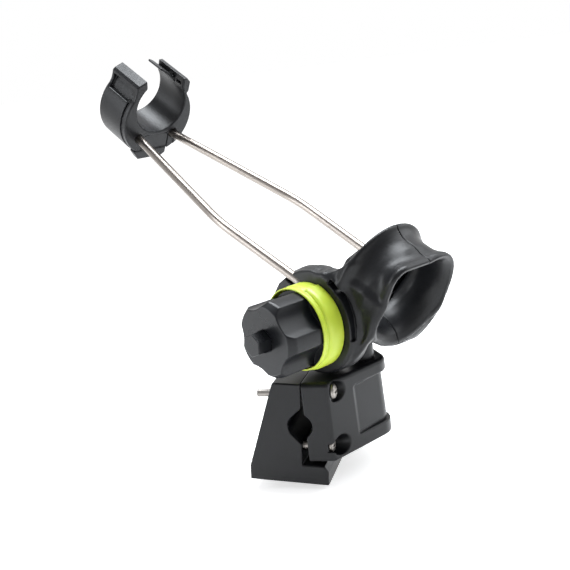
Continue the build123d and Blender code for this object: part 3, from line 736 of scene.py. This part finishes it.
def clip_base_field(x, y, z):
    """The block that closes the clip from below, with a foot at its rear."""
    block = meet(outline(y, z, BASE_BLOCK) + 0.25, slab(x, CLIP_REAR + 1.6, CLIP_FRONT - 0.4), 0.8)
    block = meet(block, BASE_BOTTOM - z, 1.0)
    foot = meet(outline(y, z, FOOT), slab(x, CLIP_REAR + 0.2, CLIP_REAR + 8.0), 1.0)
    return cut(join(block, foot, 1.5), clip_wires(x, y, z) - WIRE_ROOM, 0.4)


def make_clip():
    low, high = (CLIP_REAR, -38, -17), (CLIP_FRONT, 39.5, 60)
    clip = moulded("front_clip", clip_field, low, high, CLIP_STEP, CRADLE)
    finish_piece(clip, "cradle", "black_plastic", BODY_PLASTIC, "rod_clip")
    low, high = (CLIP_REAR, -16, -23), (CLIP_FRONT, 24, 5)
    base = moulded("front_clip_base", clip_base_field, low, high, CLIP_STEP, CRADLE)
    finish_piece(base, "cradle", "black_plastic", BODY_PLASTIC, "clip_base")


# ---------------------------------------------------------------- rail clamp
TOP_Z = 34.0
BOTTOM_Z = -28.7
CORNER_X = 26.0
BODY_FACE_X = 4.2
NOSE_RIM_R = 18.5
NOSE_R = 14.6
PANEL = (-17.0, 23.0)                   # bottom and top of the sunk panel round the nose
PANEL_HALF = 36.0
POST_BORE_R = 7.1
POST_HEAD_ROOM = (12.0, -14.0)          # radius of the room under the post, and its top
POST_SOCKET = (10.6, -10.0)             # radius of the post's socket, and its bottom
JAW_FACE_X = 1.0
HEAD_SEAT = {25.0: 26.0, -18.0: 20.0}   # how far out the upper and the lower heads sit, by height
HEAD_R = 5.85
HEAD_H = 3.9
COUNTERBORE_R = 7.9
NUT_SEAT_X = -11.0
NUT_POCKET_R = 6.9
WASHER_T = 1.5
NUT_H = 5.0
BOLT_END_X = -32.5
BOLT_R = 2.98
FASTENER_STEP = 0.3
CLAMP_STEP = 0.9
# the jaw from its end: along the bolts, up
JAW_HEEL_X = -41.0
JAW_TOE_X = 21.5
JAW_BOTTOM_Z = -47.0
JAW_OUTLINE = [
    (JAW_FACE_X, TOP_Z), (-19.1, TOP_Z), (-20.5, 33.6), (-21.4, 32.7), (-21.8, 31.6),
    (JAW_HEEL_X, -36.0), (JAW_HEEL_X, JAW_BOTTOM_Z), (JAW_TOE_X, JAW_BOTTOM_Z), (JAW_TOE_X, -36.0),
    (18.5, -31.5), (JAW_FACE_X, -31.5),
]
BOLTS = [(y, z) for y in (-HALF_LEN + 8, HALF_LEN - 8) for z in HEAD_SEAT]


def nose_plan(radius, inset=0.0):
    """Outline of the body from above: straight flanks that run in tangents to a round nose."""
    corner, half, radius = CORNER_X - inset, HALF_LEN - inset, radius - inset
    reach = POST_X - corner
    swing = math.atan2(half, reach) - math.asin(radius / math.hypot(reach, half))
    start = math.pi / 2 - swing
    arc = [-start + 2 * start * k / 32 for k in range(33)]
    nose = [(POST_X + radius * math.cos(a), radius * math.sin(a)) for a in arc]
    face = BODY_FACE_X - 8.0
    return [(face, -half), (corner, -half), *nose, (corner, half), (face, half)]


def rail_gap(x, z, face_x, side):
    """The round rail groove with a V of flats that run out of it to the gripping face."""
    touch = RAIL_R / math.sqrt(2)
    reach = RAIL_R * math.sqrt(2) - face_x * side
    wedge = [(face_x, reach), (side * touch, touch), (side * touch, -touch), (face_x, -reach),
             (face_x - 8 * side, -reach), (face_x - 8 * side, reach)]
    return np.minimum(outline(x, z, wedge), np.hypot(x, z) - RAIL_R)


def nose_panel(x, y, z):
    """The sunk panel round the nose, with a fine groove along its lower edge."""
    wall = outline(x, y, nose_plan(NOSE_R))
    lean = 0.03 * (PANEL[1] - z)
    beside = np.abs(y) - PANEL_HALF
    panel = meet(meet(lean - wall, slab(z, *PANEL), 1.5), np.maximum(beside, CORNER_X - x), 4.0)
    line = slab(z, PANEL[0] - 0.2, PANEL[0] + 1.3)
    groove = np.maximum(line, np.maximum(lean - 1.2 - wall, beside + 3))
    return panel, np.maximum(groove, CORNER_X + 4 - x)


def clamp_body_field(x, y, z):
    """The fixed half of the clamp, with the post's socket in its nose."""
    plan = outline(x, y, nose_plan(NOSE_RIM_R, 3.0)) - 3.0
    body = meet(plan, z - TOP_Z, 3.6)
    body = meet(body, BOTTOM_Z - z, 1.6)
    panel, groove = nose_panel(x, y, z)
    body = cut(cut(body, panel, 1.6), groove, 0.4)
    body = cut(body, rail_gap(x, z, BODY_FACE_X, 1), 0.7)
    for bolt_y, bolt_z in BOLTS:
        off = np.hypot(y - bolt_y, z - bolt_z)
        body = cut(body, np.maximum(off - COUNTERBORE_R, HEAD_SEAT[bolt_z] - x), 0.7)
        body = cut(body, off - 3.3, 0.3)
    post = np.hypot(x - POST_X, y)
    body = cut(body, np.maximum(post - POST_SOCKET[0], POST_SOCKET[1] - z), 0.6)
    body = cut(body, np.maximum(post - POST_HEAD_ROOM[0], z - POST_HEAD_ROOM[1]), 0.6)
    body = cut(body, post - POST_BORE_R, 0.3)
    return meet(body, BODY_FACE_X - x, 0.6)


def jaw_field(x, y, z):
    """The loose jaw; its holes stay level while the jaw leans."""
    jaw = meet(outline(x, z, JAW_OUTLINE), np.abs(y) - HALF_LEN, 1.2)
    jaw = cut(jaw, rail_gap(x, z, JAW_FACE_X, -1), 0.7)
    level_x = x * math.cos(JAW_LEAN) + z * math.sin(JAW_LEAN)
    level_z = z * math.cos(JAW_LEAN) - x * math.sin(JAW_LEAN)
    for bolt_y, bolt_z in BOLTS:
        off = np.hypot(y - bolt_y, level_z - bolt_z)
        jaw = cut(jaw, off - 3.6, 0.3)
        jaw = cut(jaw, np.maximum(off - NUT_POCKET_R, level_x - NUT_SEAT_X), 0.3)
    return jaw


def bolt_field(x, y, z, seat):
    """A pan-head bolt along X with a cross recess and a threaded end."""
    radius = np.hypot(y, z)
    dome = np.sqrt((x - seat + 5.0) ** 2 + y**2 + z**2) - 9.0
    head = meet(meet(radius - HEAD_R, slab(x, seat, seat + HEAD_H), 0.8), dome, 0.8)
    across, up = np.abs(y), np.abs(z)
    cross = np.minimum(np.maximum(across - 0.7, up - 3.3), np.maximum(up - 0.7, across - 3.3))
    head = cut(head, np.maximum(cross, seat + 1.6 - x), 0.2)
    turn = np.arctan2(z, y) / (2 * math.pi)
    thread = 0.12 * np.abs(((x + turn) % 1.0) * 2 - 1) * (x < 0)
    shank = meet(radius - BOLT_R + thread, slab(x, BOLT_END_X, seat + 0.5), 0.7)
    return np.minimum(head, shank)


def washer_field(x, y, z):
    radius = np.hypot(y, z)
    ring = meet(radius - 6.5, slab(x, NUT_SEAT_X - WASHER_T, NUT_SEAT_X), 0.3)
    return cut(ring, radius - 3.3, 0.2)


def nut_field(x, y, z):
    """A hexagon nut with bevelled corners, threaded through."""
    radius = np.hypot(y, z)
    end = NUT_SEAT_X - WASHER_T
    nut = meet(hexagon(y, z, 9.9), slab(x, end - NUT_H, end), 0.2)
    cone = (radius - 5.6) * 0.6 + slab(x, end - NUT_H, end) * 0.8
    return cut(meet(nut, cone, 0.2), radius - 3.1, 0.3)


def fasteners(name, body, node, *kinds):
    """Steel pieces at the bolts as one object; each kind is (field, low, high, places)."""
    all_points, all_faces, all_normals = [], [], []
    count = 0
    for field, low, high, places in kinds:
        points, faces = surface(field, low, high, FASTENER_STEP)
        normals = field_slope(field, points)
        for y, z in places:
            all_points.append(points + (0, y, z))
            all_faces.append(faces + count)
            all_normals.append(normals)
            count += len(points)
    points, faces, normals = (np.concatenate(part) for part in (all_points, all_faces, all_normals))
    made = new_object(name, points, faces, WORLD, normals)
    finish_piece(made, body, "stainless", BOLT_STEEL, node)


def make_fasteners():
    """Bolts, the lower two with deeper heads, and the washers and nuts in the jaw."""
    bolts = []
    for height, seat in HEAD_SEAT.items():
        places = [(y, z) for y, z in BOLTS if z == height]
        field = functools.partial(bolt_field, seat=seat)
        bolts.append((field, (BOLT_END_X, -6, -6), (seat + 4, 6, 6), places))
    fasteners("clamp_bolt_set", "clamp", "clamp_bolts", *bolts)
    end = NUT_SEAT_X - WASHER_T
    washer = (washer_field, (end, -7, -7), (NUT_SEAT_X, 7, 7), BOLTS)
    fasteners("clamp_washer_set", "jaw", "clamp_washers", washer)
    nut = (nut_field, (end - NUT_H, -6, -6), (end, 6, 6), BOLTS)
    fasteners("clamp_nut_set", "jaw", "clamp_nuts", nut)


def make_clamp():
    low, high = (BODY_FACE_X, -HALF_LEN, BOTTOM_Z), (POST_X + NOSE_RIM_R, HALF_LEN, TOP_Z)
    body = moulded("clamp_body_shell", clamp_body_field, low, high, CLAMP_STEP, WORLD)
    finish_piece(body, "clamp", "black_plastic", BODY_PLASTIC, "clamp_body")
    low, high = (JAW_HEEL_X, -HALF_LEN, JAW_BOTTOM_Z), (JAW_TOE_X, HALF_LEN, TOP_Z)
    jaw = moulded("loose_jaw_shell", jaw_field, low, high, CLAMP_STEP, JAW)
    finish_piece(jaw, "jaw", "black_plastic", BODY_PLASTIC, "rear_jaw")
    make_fasteners()


def dress_cad_nodes():
    """CAD nodes whose shape is already right keep it and take a finished material."""
    dressed = [
        (BODY_PLASTIC, ["swivel_post"]),
        (INNER_PLASTIC, ["near_friction_disc", "far_friction_disc", "knob_washer"]),
        (BOLT_STEEL, ["post_washer", "post_screw", "pivot_bolt", "clip_screws", "wire_set_screws"]),
        (BRASS, ["knob_insert"]),
    ]
    for material, names in dressed:
        for name in names:
            node = frame["nodes"][name]
            node.data.materials.clear()
            node.data.materials.append(material)


# ---------------------------------------------------------------- studio
FLOOR_HALF = 40.0
FLOOR_DROP = 0.004
LENS_MM = 58.74
CAMERA_AT = Vector((0.19317, -0.68866, 0.26742))
CAMERA_RIGHT = Vector((0.95791, 0.25907, -0.12364))
CAMERA_UP = Vector((0.05519, 0.25646, 0.96498))


def add_floor():
    """A wide pale floor a little below the object, bright enough to run into the background."""
    half, height = FLOOR_HALF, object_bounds()[0].z - FLOOR_DROP
    corners = [(-half, -half, height), (half, -half, height), (half, half, height), (-half, half, height)]
    floor = new_object("studio_floor", corners, [(0, 1, 2, 3)], Matrix.Identity(4))
    material, tree, shader, coords = node_material("pale_floor")
    colour = ramp(tree, noise(tree, coords, 3, 3), (0.3, 0.80), (0.8, 0.84))
    tree.links.new(colour, shader.inputs["Base Color"])
    shader.inputs["Roughness"].default_value = 0.9
    shader.inputs["Emission Color"].default_value = (1, 1, 1, 1)
    shader.inputs["Emission Strength"].default_value = 0.62
    floor.data.materials.append(material)


def add_world():
    """White beyond the object and along the floor, and a dim room on the near side."""
    world = bpy.data.worlds.new("studio")
    world.use_nodes = True
    tree = world.node_tree
    split = tree.nodes.new("ShaderNodeSeparateXYZ")
    tree.links.new(tree.nodes.new("ShaderNodeTexCoord").outputs["Generated"], split.inputs[0])
    shade = ramp(tree, split.outputs["Y"], (0.10, 0.42), (0.42, 1.0))
    near_floor = ramp(tree, split.outputs["Z"], (0.08, 1.0), (0.16, 0.0))
    shade = mixed(tree, near_floor, shade, (1.0, 1.0, 1.0))
    tree.links.new(shade, tree.nodes["Background"].inputs["Color"])
    bpy.context.scene.world = world


def add_light(name, place, target, size, power, colour):
    data = bpy.data.lights.new(name, "AREA")
    data.shape = "RECTANGLE"
    data.size, data.size_y = size
    data.energy = power
    data.color = colour
    light = bpy.data.objects.new(name, data)
    light.location = place
    light.rotation_mode = "QUATERNION"
    light.rotation_quaternion = (Vector(target) - Vector(place)).to_track_quat("-Z", "Y")
    bpy.context.scene.collection.objects.link(light)


def add_studio():
    add_world()
    add_floor()
    add_light("top_softbox", (0.0, 0.3, 1.2), (0, 0, 0.1), (1.0, 0.6), 27, (0.92, 0.96, 1.0))
    add_light("left_softbox", (-1.2, -0.4, 0.5), (0, 0, 0.1), (0.35, 0.9), 7, (0.93, 0.96, 1.0))
    add_light("right_softbox", (1.0, 0.5, 0.8), (0.0, 0, 0.15), (1.0, 1.0), 10, (0.94, 0.97, 1.0))
    bpy.context.scene.view_settings.view_transform = "Standard"


def add_camera():
    """The camera stands in front, a little to the right and above, and leans by a few degrees."""
    data = bpy.data.cameras.new("camera")
    data.sensor_width = 36.0
    data.lens = LENS_MM
    camera = bpy.data.objects.new("camera", data)
    back = CAMERA_RIGHT.cross(CAMERA_UP).normalized()
    up = back.cross(CAMERA_RIGHT).normalized()
    turn = Matrix((CAMERA_RIGHT.normalized(), up, back)).transposed().to_4x4()
    camera.matrix_world = Matrix.Translation(CAMERA_AT) @ turn
    bpy.context.scene.collection.objects.link(camera)
    bpy.context.scene.camera = camera


make_clamp()
make_cradle()
make_dowels()
make_wires()
make_knob()
make_clip()
dress_cad_nodes()
add_studio()
add_camera()
